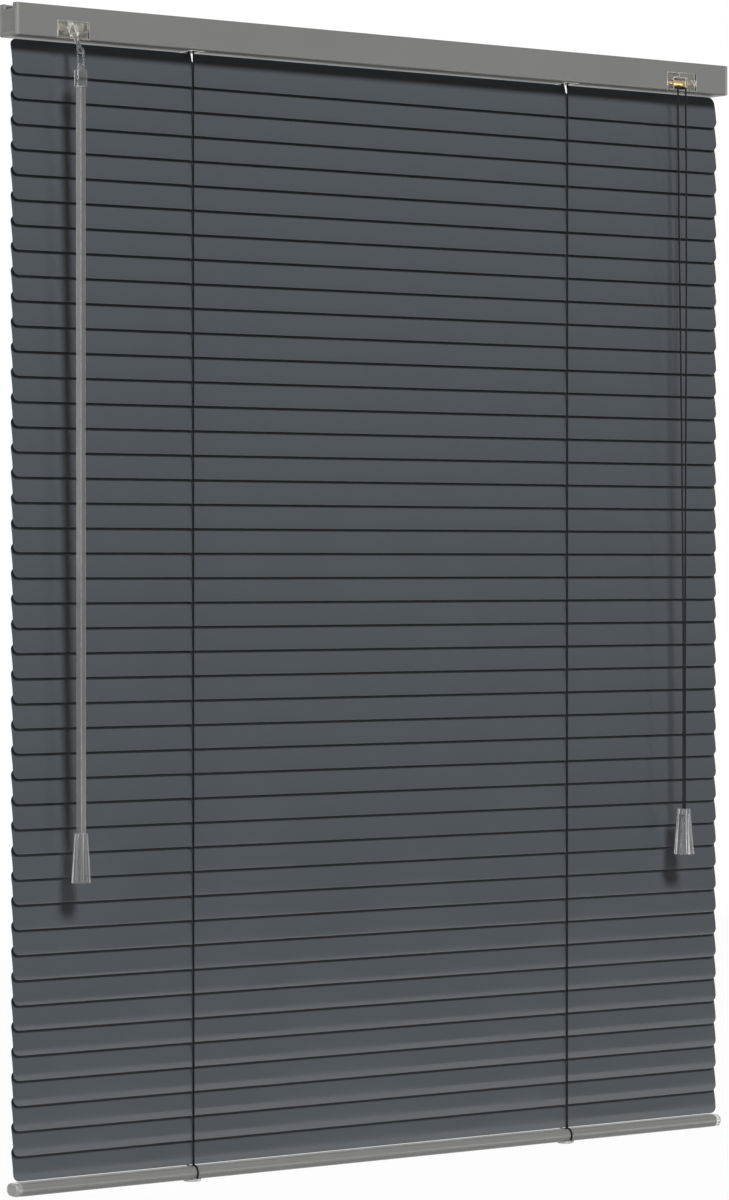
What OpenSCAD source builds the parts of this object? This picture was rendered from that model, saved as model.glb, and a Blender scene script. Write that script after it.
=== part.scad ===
// Aluminium venetian blind: closed slats on two cord ladders, with a worm tilter,
// a clear wand, a cord lock and pull cords. Seen from the room, X runs to the right,
// Y runs towards the wall and Z is up. The origin is the centre of the headrail's back.

/* [Blind] */
// Width over the headrail's end caps
blind_w = 795; // [560:5:1600]
// Number of slats
slat_count = 45; // [4:1:45]
// Distance from the middle of the blind to each ladder
ladder_x = 210; // [150:5:500]
// Distance from each end of the headrail to the tilter and the cord lock
control_inset = 57; // [45:1:80]

/* [Slats] */
// Width of a slat across its curve
slat_w = 30; // [24:0.5:30]
// Sheet thickness
slat_t = 0.25; // [0.2:0.01:0.35]
// Height of the slat's curve
slat_crown = 1; // [0.8:0.05:1.4]
// Distance between slats down the ladder
slat_pitch = 21.5; // [20:0.5:24]
// Rounding of the slat's corners
slat_corner_r = 6; // [1:0.5:8]
// How much shorter than the headrail a slat is at each end
slat_end_gap = 3.5; // [2:0.5:10]
// Angle of the closed slats from level, front edge down
closed_tilt = 80; // [74:1:82]
// From the headrail's underside to the first slat's centre
first_slat_drop = 15.7; // [15.7:0.1:30]

/* [Headrail] */
// Depth of the headrail, front to back
rail_d = 27; // [26:0.5:34]
// Height of the headrail
rail_h = 28; // [27:0.5:36]
// Wall thickness of the headrail
rail_wall = 0.8; // [0.6:0.05:1]
// Outer radius of the two lower folds
rail_fold_r = 2.4; // [1.6:0.1:3]
// Width of the lips turned in at the top
lip_w = 3.2; // [2.5:0.1:5]
// Depth of the hem that turns down from each lip
lip_hem = 2; // [1.5:0.1:3]
// Thickness of the end plates
end_cap_t = 2.5; // [1.5:0.1:4]

/* [Bottom rail] */
// Depth of the bottom rail, front to back
base_d = 18; // [16:0.5:22]
// Height of the bottom rail
base_h = 11.5; // [10:0.5:14]
// Wall thickness of the bottom rail
base_wall = 0.8; // [0.6:0.05:1.2]
// Length of each clear end cap
base_cap_l = 6; // [4:0.5:10]
// Diameter of the cord plugs
plug_d = 16; // [13:0.5:17]

/* [Cords] */
// Diameter of the ladder cords
ladder_cord_d = 1.4; // [1:0.05:1.5]
// Diameter of the lift cords
lift_cord_d = 1.6; // [1:0.05:1.7]
// Drop from the headrail's underside to the top of the tassel
tassel_drop = 681; // [150:1:900]
// Length of the tassel
tassel_l = 43; // [30:1:60]

/* [Tilter and wand] */
// Angle of the tilter's shaft from upright
shaft_lean = 35; // [32:1:38]
// Width of the hexagonal wand across its corners
wand_d = 9; // [7:0.1:10]
// Drop from the headrail's underside to the wand's lower end
wand_drop = 722; // [200:1:900]
// Length of the wand's grip
grip_l = 42; // [30:1:60]

/* [Hidden] */
$fn = 48;

// Running clearance between turning pieces
run_gap = 0.3;
// Clearance between pieces that push together
push_gap = 0.15;
// Length by which a cut runs past the face it opens
overrun = 2;

// Planes that everything shares
axis_y = -rail_d / 2;
rail_front = -rail_d;
rail_top = rail_h / 2;
rail_floor = -rail_h / 2;
channel_floor = rail_floor + rail_wall;
channel_front = rail_front + rail_wall;
rail_l = blind_w - 2 * end_cap_t;
tilter_x = control_inset - blind_w / 2;
lock_x = -tilter_x;

// End caps of the headrail
cap_notch_d = 4.5;
cap_band = 6;
cap_skirt_l = 8;
cap_skirt_t = 1.2;

// Tilt rod, ladder drums and worm wheel
rod_drop = 16;
rod_s = 4;
rod_gap = 0.1;
rod_overhang = 10;
rod_z = rail_top - rod_drop;
drum_r = 6.5;
drum_l = 10;
flange_r = 7.5;
flange_t = 1.2;
hub_r = 3.8;
hub_overhang = 1;

// Drum cradles
cheek_t = 2;
cheek_rise = 3;
cheek_foot = 1.5;
cradle_base_t = 2;
nose_l = 14;
nose_d = 21;
nose_t = 1.2;
nose_drop = 0.3;
cradle_l = drum_l + 2 * (flange_t + run_gap + cheek_t);
cord_way_d = 7;
cord_way_h = 5;

// Worm and worm wheel, in mesh at the middle of the worm
wheel_teeth = 18;
wheel_tip_r = 5.6;
wheel_root_r = 4.5;
wheel_w = 5;
worm_core_r = 1.4;
worm_crest_r = 2.6;
worm_l = 7;
mesh_depth = 0.5;
thread_share = 0.14;
tooth_tip_share = 0.16;
tooth_root_share = 0.46;
worm_slices_per_turn = 12;
worm_centre = wheel_tip_r + worm_crest_r - mesh_depth;
worm_lead = 2 * PI * (wheel_tip_r - mesh_depth / 2) / wheel_teeth;
worm_y = axis_y - worm_centre * cos(shaft_lean);
worm_z = rod_z + worm_centre * sin(shaft_lean);
worm_phase = -90;
wheel_phase = 180 - shaft_lean + 180 / wheel_teeth;
shaft_r = 1.9;
shaft_top = 6;
shaft_l = 29.5;
eye_r = 3.2;
eye_wire_r = 0.8;
eye_along = shaft_l + eye_r;
eye_y = worm_y - eye_along * sin(shaft_lean);
eye_z = worm_z - eye_along * cos(shaft_lean);

// Clear cases of the tilter and the cord lock, in windows cut in the headrail
case_wall = 1.2;
case_d = rail_d - 2 * rail_wall - 2 * push_gap;
tilter_w = 32;
tilter_h = 21;
tilter_window_h = 16;
lock_w = 36;
lock_h = 22;
lock_window_h = 18;
window_foot = 4;
panel_gap = 0.25;
panel_proud = 0.3;
boss_r = 4;
boss_from = 5.2;
boss_to = 15.5;

// Cord lock roller and the slot that it climbs
roller_r = 3;
roller_l = 16;
trunnion_r = 1.5;
roller_lift = 3;
roller_lean = 30;
roller_inset = 5.2;
roller_y = channel_front + roller_inset;
roller_rise = [sin(roller_lean), cos(roller_lean)];
lock_mouth_w = 16;
lock_mouth_h = 11;
cord_entry_d = 6;
cord_entry_h = 3;

// Wand link, ferrule and grip
link_r = 4.4;
link_wire_r = 0.8;
link_leg = 5.7;
tang_w = 6;
tang_t = 2.4;
tang_rise = 3;
tang_hole_r = 1.2;
ferrule_r = 5.6;
ferrule_l = 14;
ferrule_gap = 2.5;
grip_top_r = 5.75;
grip_foot_r = 8.5;
grip_flutes = 12;
flute_r = 1.2;
link_foot_z = eye_z - 2 * link_r - link_leg;
ferrule_top = link_foot_z - ferrule_gap;
wand_foot = rail_floor - wand_drop;

// Tassel
tassel_top_r = 6;
tassel_foot_r = 9.75;
tassel_bore_r = 4.4;
tassel_roof = 5;
tassel_shift = 6.5;
tassel_y = eye_y;
tassel_x = lock_x - tassel_shift;
tassel_top = rail_floor - tassel_drop;

// Slats: the middle of the curve lies on the axis that the slat turns about
slat_l = blind_w - 2 * slat_end_gap;
slat_bend_r = (slat_w * slat_w / 4 + slat_crown * slat_crown) / (2 * slat_crown);
notch_gap = 0.3;
notch_w = lift_cord_d + 2 * notch_gap;
rung_t = 0.5;
rung_bite = 0.1;
rung_shift = 2;
rung_over = 1;
rung_l = slat_w + 2 * rung_over;
function slat_name(i) = str("slat_", i < 10 ? "0" : "", i);
function slat_z(i) = rail_floor - first_slat_drop - (i - 1) * slat_pitch;

// Bottom rail
base_gap = 1.2;
base_z = slat_z(slat_count) - slat_w / 2 - base_gap - base_h / 2;
base_over = 1;
base_l = slat_l + 2 * base_over - 2 * base_cap_l;
base_edge_r = 2;
base_skirt_l = 6;
plug_proud = 2;
plug_edge_r = 1;
plug_stem_r = 4.6;
plug_stem_l = 5;
plug_cord_r = 1.2;
base_cord_r = 3.8;

// Ladder cords: each hangs just clear of the closed slats' edges
cord_gap = 0.3;
cord_sides = 8;
slat_reach = slat_w / 2 * cos(closed_tilt);
slat_sag = slat_crown * sin(closed_tilt);
ladder_r = ladder_cord_d / 2;
front_cord_y = axis_y - (slat_reach - slat_sag + slat_t / 2 + ladder_r + cord_gap);
back_cord_y = axis_y + (slat_reach + slat_sag + slat_t / 2 + ladder_r + cord_gap);
drum_wrap_r = drum_r + ladder_r + push_gap;
wrap_steps = 5;
ladder_foot = base_z + base_h / 2 + base_gap;
tail_gap = 0.2;
tail_steps = 7;
tail_start = -75;
tail_r = base_h / 2 + ladder_r + tail_gap;
tail_sweep = 118;
base_flat = (base_d - base_h) / 2;

// Lift cords: up behind the closed slats, along the headrail's front corner and out of the lock
lift_r = lift_cord_d / 2;
lift_shift = 2.2;
lift_back = 8.1;
lift_y = axis_y + lift_back;
left_lift_x = -ladder_x + lift_shift;
right_lift_x = ladder_x + lift_shift;
run_rise = 3;
run_inset = 2.6;
run_part = 2.2;
run_z = channel_floor + run_rise;
left_run_y = channel_front + run_inset;
right_run_y = left_run_y + run_part;
roller_z = run_z + lift_r + run_gap + roller_r;
turn_l = 4;
exit_proud = 2.6;
exit_y = rail_front - exit_proud;
exit_spread = 4.75;
exit_shift = 2.3;
knot_r = 1.8;
knot_l = 3;
knot_step = 5;
cord_part = 1.2;
lift_foot = base_z - base_h / 2 + base_wall;
free_share = 0.75;
left_pull_x = lock_x - exit_spread - exit_shift;
right_pull_x = left_pull_x + 2 * exit_spread;

left_cord_route = [
    [-ladder_x, axis_y, lift_foot],
    [-ladder_x, axis_y, base_z],
    [left_lift_x, axis_y + 0.3 * turn_l, base_z + base_h / 2],
    [left_lift_x, lift_y, slat_z(slat_count) - 1.5 * turn_l],
    [left_lift_x, lift_y, rail_floor],
    [left_lift_x, lift_y - 0.1 * turn_l, run_z - 0.3 * turn_l],
    [left_lift_x, lift_y - 0.5 * turn_l, run_z],
    [left_lift_x, axis_y, run_z],
    [-ladder_x + 0.75 * turn_l, axis_y - 0.75 * turn_l, run_z],
    [-ladder_x + 1.25 * turn_l, axis_y - 1.5 * turn_l, run_z],
    [-ladder_x + 2 * turn_l, left_run_y, run_z],
    [-ladder_x + 6 * turn_l, left_run_y, run_z],
    [left_pull_x - 3 * turn_l, left_run_y, run_z],
    [left_pull_x - turn_l, left_run_y, run_z],
    [left_pull_x - 0.25 * turn_l, left_run_y - 0.25 * turn_l, run_z - 0.1 * turn_l],
    [left_pull_x, rail_front, run_z - 0.1 * turn_l],
    [left_pull_x, exit_y + 0.1 * turn_l, run_z - 0.25 * turn_l],
    [left_pull_x, exit_y, run_z - 0.75 * turn_l],
    [left_pull_x, exit_y, run_z - 3 * turn_l],
    [left_pull_x, exit_y - 0.25 * turn_l, run_z - 20 * turn_l],
    [tassel_x - cord_part, tassel_y, rail_floor - free_share * tassel_drop],
    [tassel_x - cord_part, tassel_y, tassel_top - tassel_roof],
    [tassel_x - cord_part, tassel_y, tassel_top - tassel_roof - knot_r],
    [tassel_x - cord_part, tassel_y, tassel_top - tassel_roof - knot_r - knot_l]];

right_cord_route = [
    [ladder_x, axis_y, lift_foot],
    [ladder_x, axis_y, base_z],
    [right_lift_x, axis_y + 0.3 * turn_l, base_z + base_h / 2],
    [right_lift_x, lift_y, slat_z(slat_count) - 1.5 * turn_l],
    [right_lift_x, lift_y, rail_floor],
    [right_lift_x, lift_y - 0.1 * turn_l, run_z - 0.3 * turn_l],
    [right_lift_x, lift_y - 0.5 * turn_l, run_z],
    [right_lift_x, axis_y, run_z],
    [ladder_x + 0.75 * turn_l, axis_y - 0.75 * turn_l, run_z],
    [ladder_x + 1.25 * turn_l, axis_y - 1.5 * turn_l, run_z],
    [ladder_x + 2 * turn_l, right_run_y, run_z],
    [right_pull_x - 3 * turn_l, right_run_y, run_z],
    [right_pull_x - turn_l, right_run_y, run_z],
    [right_pull_x - 0.25 * turn_l, right_run_y - 0.4 * turn_l, run_z - 0.1 * turn_l],
    [right_pull_x, rail_front, run_z - 0.1 * turn_l],
    [right_pull_x, exit_y + 0.1 * turn_l, run_z - 0.25 * turn_l],
    [right_pull_x, exit_y, run_z - 0.75 * turn_l],
    [right_pull_x, exit_y, run_z - 3 * turn_l],
    [right_pull_x, exit_y - 0.25 * turn_l, run_z - 20 * turn_l],
    [tassel_x + cord_part, tassel_y, rail_floor - free_share * tassel_drop],
    [tassel_x + cord_part, tassel_y, tassel_top - tassel_roof - knot_step],
    [tassel_x + cord_part, tassel_y, tassel_top - tassel_roof - knot_r - knot_step],
    [tassel_x + cord_part, tassel_y, tassel_top - tassel_roof - knot_r - knot_step - knot_l]];

// A round cord swept along a route, with the last stretch swollen into a knot
function unit(v) = v / norm(v);
function heading(route, i) = unit(route[min(i + 1, len(route) - 1)] - route[max(i - 1, 0)]);
function cord_ring(centre, along, side, r) =
    let (a = unit(side - (side * along) * along), b = cross(along, a))
    [for (k = [0 : cord_sides - 1])
        centre + r * (cos(360 * k / cord_sides) * a + sin(360 * k / cord_sides) * b)];

module cord_tube(route, r, side, end_r) {
    last = len(route) - 1;
    n = cord_sides;
    rings = [for (i = [0 : last]) cord_ring(route[i], heading(route, i), side, i < last - 1 ? r : end_r)];
    walls = [for (i = [0 : last - 1], k = [0 : n - 1])
        [i * n + k, (i + 1) * n + k, (i + 1) * n + (k + 1) % n, i * n + (k + 1) % n]];
    start_face = [for (k = [0 : n - 1]) k];
    end_face = [for (k = [0 : n - 1]) last * n + n - 1 - k];
    polyhedron([for (ring = rings, p = ring) p], concat([start_face], walls, [end_face]), convexity = 4);
}

// Two pieces placed alike at the left and the right
module pair(x) {
    translate([-x, 0, 0]) children();
    translate([x, 0, 0]) children();
}

// A length of a flat outline drawn in Y and Z, centred on X
module bar(l) {
    rotate([90, 0, 90]) linear_extrude(l, center = true) children();
}

// A channel outline with its two lower corners rounded, from its floor upwards
module channel_outline(d, h, r) {
    translate([-d / 2, r]) square([d, h - r]);
    translate([r - d / 2, 0]) square([d - 2 * r, h]);
    translate([r - d / 2, r]) circle(r);
    translate([d / 2 - r, r]) circle(r);
}

module headrail_section() {
    mouth = rail_d - 2 * lip_w;
    hem_in = rail_d - 2 * (lip_w - rail_wall);
    translate([axis_y, rail_floor]) {
        difference() {
            channel_outline(rail_d, rail_h, rail_fold_r);
            translate([0, rail_wall])
                channel_outline(rail_d - 2 * rail_wall, rail_h - 2 * rail_wall, rail_fold_r - rail_wall);
            translate([-mouth / 2, rail_h / 2]) square([mouth, rail_h]);
        }
        difference() {
            translate([-hem_in / 2, rail_h - lip_hem]) square([hem_in, lip_hem]);
            translate([-mouth / 2, 0]) square([mouth, rail_h + overrun]);
        }
    }
}

// Opening in the headrail's front and lower fold
module control_window(x, w, h) {
    translate([x - w / 2, rail_front - overrun, rail_floor - overrun])
        cube([w, overrun + rail_wall + window_foot, overrun + h]);
}

module headrail() {
    color([0.72, 0.73, 0.74])
    difference() {
        bar(rail_l) headrail_section();
        control_window(tilter_x, tilter_w + 2 * panel_gap, tilter_window_h);
        control_window(lock_x, lock_w + 2 * panel_gap, lock_window_h);
        pair(ladder_x)
            translate([-nose_l / 2 - push_gap, axis_y - nose_d / 2 - push_gap, rail_floor - overrun])
                cube([nose_l + 2 * push_gap, nose_d + 2 * push_gap, 2 * overrun]);
    }
}

// End plate with a notched top and a skirt that pushes into the channel
module headrail_end_cap() {
    skirt_d = rail_d - 2 * (rail_wall + push_gap);
    skirt_h = rail_h - 2 * lip_hem - rail_wall - push_gap;
    fold = rail_fold_r - rail_wall;
    translate([blind_w / 2 - end_cap_t / 2, axis_y, rail_floor])
    difference() {
        bar(end_cap_t) channel_outline(rail_d, rail_h, rail_fold_r);
        translate([-end_cap_t, cap_band - rail_d / 2, rail_h - cap_notch_d])
            cube([2 * end_cap_t, rail_d - 2 * cap_band, cap_notch_d + overrun]);
    }
    translate([rail_l / 2 - cap_skirt_l / 2, axis_y, channel_floor + push_gap])
    bar(cap_skirt_l)
    difference() {
        channel_outline(skirt_d, skirt_h, fold);
        translate([0, cap_skirt_t])
            channel_outline(skirt_d - 2 * cap_skirt_t, skirt_h, fold);
    }
}

// Cradle with two cheeks that hold a drum's hubs and a nose through the headrail
module drum_cradle() {
    inside_d = rail_d - 2 * (rail_wall + push_gap);
    base_bottom = channel_floor;
    hole_l = nose_l - 2 * nose_t;
    hole_d = nose_d - 2 * nose_t;
    cheek_h = rod_z + cheek_rise - base_bottom;
    difference() {
        union() {
            translate([-cradle_l / 2, axis_y - inside_d / 2 + rail_fold_r, base_bottom])
                cube([cradle_l, inside_d - 2 * rail_fold_r, cradle_base_t]);
            translate([-nose_l / 2, axis_y - nose_d / 2, rail_floor - nose_drop])
                cube([nose_l, nose_d, nose_drop + rail_wall + cradle_base_t]);
            for (end = [-1, 1])
                translate([
                    end * (cradle_l - cheek_t) / 2 - cheek_t / 2,
                    axis_y - inside_d / 2,
                    base_bottom + cheek_foot])
                    cube([cheek_t, inside_d, cheek_h - cheek_foot]);
        }
        translate([-hole_l / 2, axis_y - hole_d / 2, rail_floor - nose_drop - overrun])
            cube([hole_l, hole_d, nose_drop + rail_wall + cradle_base_t + 2 * overrun]);
        translate([0, axis_y, rod_z])
            rotate([0, 90, 0]) cylinder(h = cradle_l + overrun, r = hub_r + run_gap, center = true);
        translate([-cradle_l / 2 - overrun, axis_y - hub_r - run_gap, rod_z])
            cube([cradle_l + 2 * overrun, 2 * (hub_r + run_gap), cheek_rise + overrun]);
        translate([
            -cradle_l / 2 - overrun,
            axis_y - inside_d / 2 - overrun,
            base_bottom + cradle_base_t])
            cube([cradle_l + 2 * overrun, cord_way_d + overrun, cord_way_h]);
    }
}

module headrail_fittings() {
    color([0.7, 0.71, 0.72]) {
        headrail_end_cap();
        mirror([1, 0, 0]) headrail_end_cap();
    }
    color([0.88, 0.89, 0.88]) pair(ladder_x) drum_cradle();
}

// Open box with a front panel that fills a window of the headrail
module control_case(w, h, window_h) {
    difference() {
        translate([0, axis_y, channel_floor]) bar(w) channel_outline(case_d, h, rail_fold_r - rail_wall);
        translate([case_wall - w / 2, axis_y - case_d / 2 + case_wall, channel_floor + case_wall])
            cube([w - 2 * case_wall, case_d - 2 * case_wall, h]);
    }
    translate([-w / 2, rail_front - panel_proud, channel_floor])
        cube([w, panel_proud + rail_wall + push_gap + case_wall, window_h - rail_wall - panel_gap]);
}

// Places its children on the tilter's shaft, with Z along the shaft, downwards and forwards
module on_shaft(along) {
    translate([tilter_x, worm_y, worm_z])
        rotate([180 - shaft_lean, 0, 0]) translate([0, 0, along]) children();
}

module tilter_case() {
    color([0.86, 0.88, 0.87])
    difference() {
        union() {
            translate([tilter_x, 0, 0]) control_case(tilter_w, tilter_h, tilter_window_h);
            on_shaft(boss_from) cylinder(h = boss_to - boss_from, r = boss_r);
        }
        on_shaft(-overrun) cylinder(h = boss_to + 2 * overrun, r = shaft_r + run_gap);
        on_shaft(-overrun) cylinder(h = boss_from + overrun, r = worm_crest_r + run_gap);
        translate([tilter_x, axis_y, rod_z])
            rotate([0, 90, 0]) cylinder(h = tilter_w + overrun, r = hub_r + run_gap, center = true);
    }
}

// One narrow thread wound on a round core
module worm_thread_section() {
    half = 180 * thread_share;
    circle(worm_core_r, $fn = 8);
    polygon([
        [0, 0],
        worm_crest_r * [cos(half), -sin(half)],
        [worm_crest_r, 0],
        worm_crest_r * [cos(half), sin(half)]]);
}

module tilter_worm() {
    turns = worm_l / worm_lead;
    color([0.9, 0.91, 0.9]) {
        on_shaft(-worm_l / 2)
            linear_extrude(worm_l, twist = -360 * turns, slices = ceil(turns * worm_slices_per_turn))
                rotate(worm_phase - 180 * turns) worm_thread_section();
        on_shaft(-shaft_top) cylinder(h = shaft_top + shaft_l, r = shaft_r);
        on_shaft(eye_along)
            rotate([90, 0, 0]) rotate_extrude() translate([eye_r, 0]) circle(eye_wire_r);
    }
}

// Round spindle with a square hole for the tilt rod
module rod_hole(l) {
    cube([l + 2 * overrun, rod_s + 2 * rod_gap, rod_s + 2 * rod_gap], center = true);
}

module spindle(r, l) {
    rotate([0, 90, 0]) cylinder(h = l, r = r, center = true);
}

module ladder_drum() {
    hub_l = cradle_l + 2 * hub_overhang;
    difference() {
        union() {
            spindle(drum_r, drum_l);
            for (end = [-1, 1])
                translate([end * (drum_l + flange_t) / 2, 0, 0]) spindle(flange_r, flange_t);
            spindle(hub_r, hub_l);
        }
        rod_hole(hub_l);
    }
}

module worm_wheel() {
    hub_l = tilter_w + 2 * hub_overhang;
    step = 360 / wheel_teeth;
    difference() {
        union() {
            spindle(hub_r, hub_l);
            bar(wheel_w) {
                circle(wheel_root_r);
                for (i = [0 : wheel_teeth - 1]) rotate(i * step + wheel_phase) wheel_tooth(step);
            }
        }
        rod_hole(hub_l);
    }
}

module wheel_tooth(step) {
    tip = step * tooth_tip_share;
    root = step * tooth_root_share;
    polygon([
        [0, 0],
        wheel_root_r * [cos(root), -sin(root)],
        wheel_tip_r * [cos(tip), -sin(tip)],
        wheel_tip_r * [cos(tip), sin(tip)],
        wheel_root_r * [cos(root), sin(root)]]);
}

module tilt_shaft() {
    rod_left = tilter_x - tilter_w / 2 - rod_overhang;
    rod_right = ladder_x + cradle_l / 2 + rod_overhang;
    color([0.6, 0.6, 0.61])
        translate([rod_left, axis_y - rod_s / 2, rod_z - rod_s / 2])
            cube([rod_right - rod_left, rod_s, rod_s]);
    color([0.88, 0.88, 0.86]) translate([0, axis_y, rod_z]) {
        pair(ladder_x) ladder_drum();
        translate([tilter_x, 0, 0]) worm_wheel();
    }
}

module cord_lock_case() {
    color([0.86, 0.88, 0.87])
    difference() {
        translate([lock_x, 0, 0]) control_case(lock_w, lock_h, lock_window_h);
        for (step = [0, 0.5, 1])
            translate([
                lock_x,
                roller_y + step * roller_lift * roller_rise[0],
                roller_z + step * roller_lift * roller_rise[1]])
                rotate([0, 90, 0])
                    cylinder(h = lock_w + overrun, r = trunnion_r + run_gap, center = true);
        translate([left_pull_x - lock_mouth_w / 6, rail_front - overrun, channel_floor + case_wall])
            cube([lock_mouth_w, overrun + rail_d / 2, lock_mouth_h]);
        translate([
            lock_x - lock_w / 2 - overrun,
            channel_front + case_wall + push_gap,
            channel_floor + case_wall])
            cube([2 * overrun + case_wall, cord_entry_d, cord_entry_h]);
    }
}

module cord_lock_roller() {
    color([0.74, 0.6, 0.32])
    translate([lock_x, roller_y, roller_z]) {
        spindle(roller_r, roller_l);
        spindle(trunnion_r, lock_w);
    }
}

// Long wire loop that hangs in the shaft's eye
module wand_link() {
    color([0.88, 0.89, 0.88])
    translate([tilter_x, eye_y, eye_z - link_r]) rotate([0, 0, 90]) {
        rotate([90, 0, 0]) rotate_extrude(angle = 180) translate([link_r, 0]) circle(link_wire_r);
        translate([0, 0, -link_leg]) {
            rotate([-90, 0, 0]) rotate_extrude(angle = 180) translate([link_r, 0]) circle(link_wire_r);
            for (end = [-1, 1]) translate([end * link_r, 0, 0]) cylinder(h = link_leg, r = link_wire_r);
        }
    }
}

// Cone with shallow flutes down its side, standing on Z
module fluted_cone(top_r, foot_r, l) {
    difference() {
        cylinder(h = l, r1 = foot_r, r2 = top_r);
        for (i = [0 : grip_flutes - 1])
            rotate(360 * i / grip_flutes)
                translate([foot_r + flute_r / 2, 0, 0])
                    rotate([0, -atan((foot_r - top_r) / l), 0])
                        translate([0, 0, -overrun]) cylinder(h = l + 2 * overrun, r = flute_r, $fn = 16);
    }
}

module wand() {
    color([0.9, 0.92, 0.92])
    translate([tilter_x, eye_y, 0]) {
        difference() {
            translate([-tang_w / 2, -tang_t / 2, ferrule_top - ferrule_l / 2])
                cube([tang_w, tang_t, link_foot_z + tang_rise - ferrule_top + ferrule_l / 2]);
            translate([0, 0, link_foot_z])
                rotate([90, 0, 0]) cylinder(h = tang_t + overrun, r = tang_hole_r, center = true);
        }
        translate([0, 0, ferrule_top - ferrule_l]) cylinder(h = ferrule_l, r = ferrule_r);
        translate([0, 0, wand_foot + grip_l / 2])
            cylinder(h = ferrule_top - ferrule_l / 2 - wand_foot - grip_l / 2, r = wand_d / 2, $fn = 6);
        translate([0, 0, wand_foot]) fluted_cone(grip_top_r, grip_foot_r, grip_l);
    }
}

module cord_tassel() {
    color([0.88, 0.89, 0.88])
    translate([tassel_x, tassel_y, tassel_top - tassel_l])
    difference() {
        fluted_cone(tassel_top_r, tassel_foot_r, tassel_l);
        translate([0, 0, -overrun]) cylinder(h = tassel_l - tassel_roof + overrun, r = tassel_bore_r);
        for (end = [-1, 1])
            translate([end * cord_part, 0, 0]) cylinder(h = tassel_l + overrun, r = lift_r + push_gap);
    }
}

// A ladder cord's tail: down past the rail's face and round to the plug below it
function tail_route(front) = [for (i = [0 : tail_steps])
    let (turn = tail_start + i * tail_sweep / tail_steps)
    [0, axis_y + front * (base_flat + tail_r * cos(turn)), base_z - tail_r * sin(turn)]];

// Front cord: from under the drum straight down the slats' front edges
front_ladder_route = concat(
    [[0, axis_y - drum_wrap_r * cos(closed_tilt), rod_z - drum_wrap_r * sin(closed_tilt)],
     [0, front_cord_y, rail_floor - nose_drop],
     [0, front_cord_y, slat_z(1)],
     [0, front_cord_y, ladder_foot]],
    tail_route(-1));

// Back cord: over the drum's top, down its back and down the slats' back edges
back_ladder_route = concat(
    [for (i = [0 : wrap_steps]) let (turn = closed_tilt * (1 - i / wrap_steps))
        [0, axis_y + drum_wrap_r * cos(turn), rod_z + drum_wrap_r * sin(turn)]],
    [[0, back_cord_y, rail_floor - turn_l / 2],
     [0, back_cord_y, slat_z(1)],
     [0, back_cord_y, ladder_foot]],
    tail_route(1));

module front_ladder_cords() {
    color([0.13, 0.13, 0.14]) pair(ladder_x) cord_tube(front_ladder_route, ladder_r, [1, 0, 0], ladder_r);
}

module back_ladder_cords() {
    color([0.13, 0.13, 0.14]) pair(ladder_x) cord_tube(back_ladder_route, ladder_r, [1, 0, 0], ladder_r);
}

module lift_cords() {
    color([0.16, 0.16, 0.17]) {
        cord_tube(left_cord_route, lift_r, [0, 1, 0], knot_r);
        cord_tube(right_cord_route, lift_r, [0, 1, 0], knot_r);
    }
}

// A stadium outline in Y and Z
module oval(d, h) {
    square([d - h, h], center = true);
    for (end = [-1, 1]) translate([end * (d - h) / 2, 0]) circle(h / 2);
}

module bottom_rail() {
    color([0.72, 0.73, 0.74])
    translate([0, axis_y, base_z])
    difference() {
        bar(base_l) oval(base_d, base_h);
        bar(base_l + overrun) oval(base_d - 2 * base_wall, base_h - 2 * base_wall);
        pair(ladder_x) {
            translate([0, 0, -base_h]) cylinder(h = base_h, r = plug_stem_r + push_gap);
            cylinder(h = base_h, r = base_cord_r);
        }
    }
}

// Half of a rounded edge profile, from the middle outwards, standing on the rail's end
module cap_profile() {
    half = base_h / 2;
    square([half - base_edge_r, base_cap_l]);
    square([half, base_cap_l - base_edge_r]);
    translate([half - base_edge_r, base_cap_l - base_edge_r]) intersection() {
        circle(base_edge_r);
        square(base_edge_r);
    }
}

module bottom_end_cap() {
    translate([base_l / 2, axis_y, base_z]) {
        rotate([0, 90, 0]) {
            for (end = [-1, 1])
                translate([0, end * (base_d - base_h) / 2, 0]) rotate_extrude() cap_profile();
            rotate([90, 0, 0]) linear_extrude(base_d - base_h, center = true) {
                cap_profile();
                mirror([1, 0]) cap_profile();
            }
        }
        translate([-base_skirt_l / 2, 0, 0])
            bar(base_skirt_l)
                oval(base_d - 2 * (base_wall + push_gap), base_h - 2 * (base_wall + push_gap));
    }
}

module cord_plug() {
    translate([ladder_x, axis_y, base_z - base_h / 2])
    difference() {
        union() {
            rotate_extrude() {
                translate([0, -plug_proud]) square([plug_d / 2 - plug_edge_r, plug_proud]);
                translate([0, plug_edge_r - plug_proud]) square([plug_d / 2, plug_proud - plug_edge_r]);
                translate([plug_d / 2 - plug_edge_r, plug_edge_r - plug_proud])
                    circle(plug_edge_r, $fn = 24);
            }
            cylinder(h = plug_stem_l, r = plug_stem_r);
        }
        translate([0, 0, base_wall]) cylinder(h = plug_stem_l, r = plug_cord_r);
    }
}

module bottom_rail_fittings() {
    color([0.86, 0.88, 0.88]) {
        bottom_end_cap();
        cord_plug();
        mirror([1, 0, 0]) {
            bottom_end_cap();
            cord_plug();
        }
    }
}

// Flat outline of a slat, with notches in its back edge for the lift cords
module slat_outline() {
    l = slat_l - 2 * slat_corner_r;
    w = slat_w - 2 * slat_corner_r;
    difference() {
        union() {
            square([slat_l, w], center = true);
            square([l, slat_w], center = true);
            for (x = [-1, 1], y = [-1, 1]) translate([x * l / 2, y * w / 2]) circle(slat_corner_r);
        }
        for (x = [left_lift_x, right_lift_x]) translate([x, lift_back]) {
            circle(notch_w / 2);
            translate([-notch_w / 2, 0]) square([notch_w, slat_w]);
        }
    }
}

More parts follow.
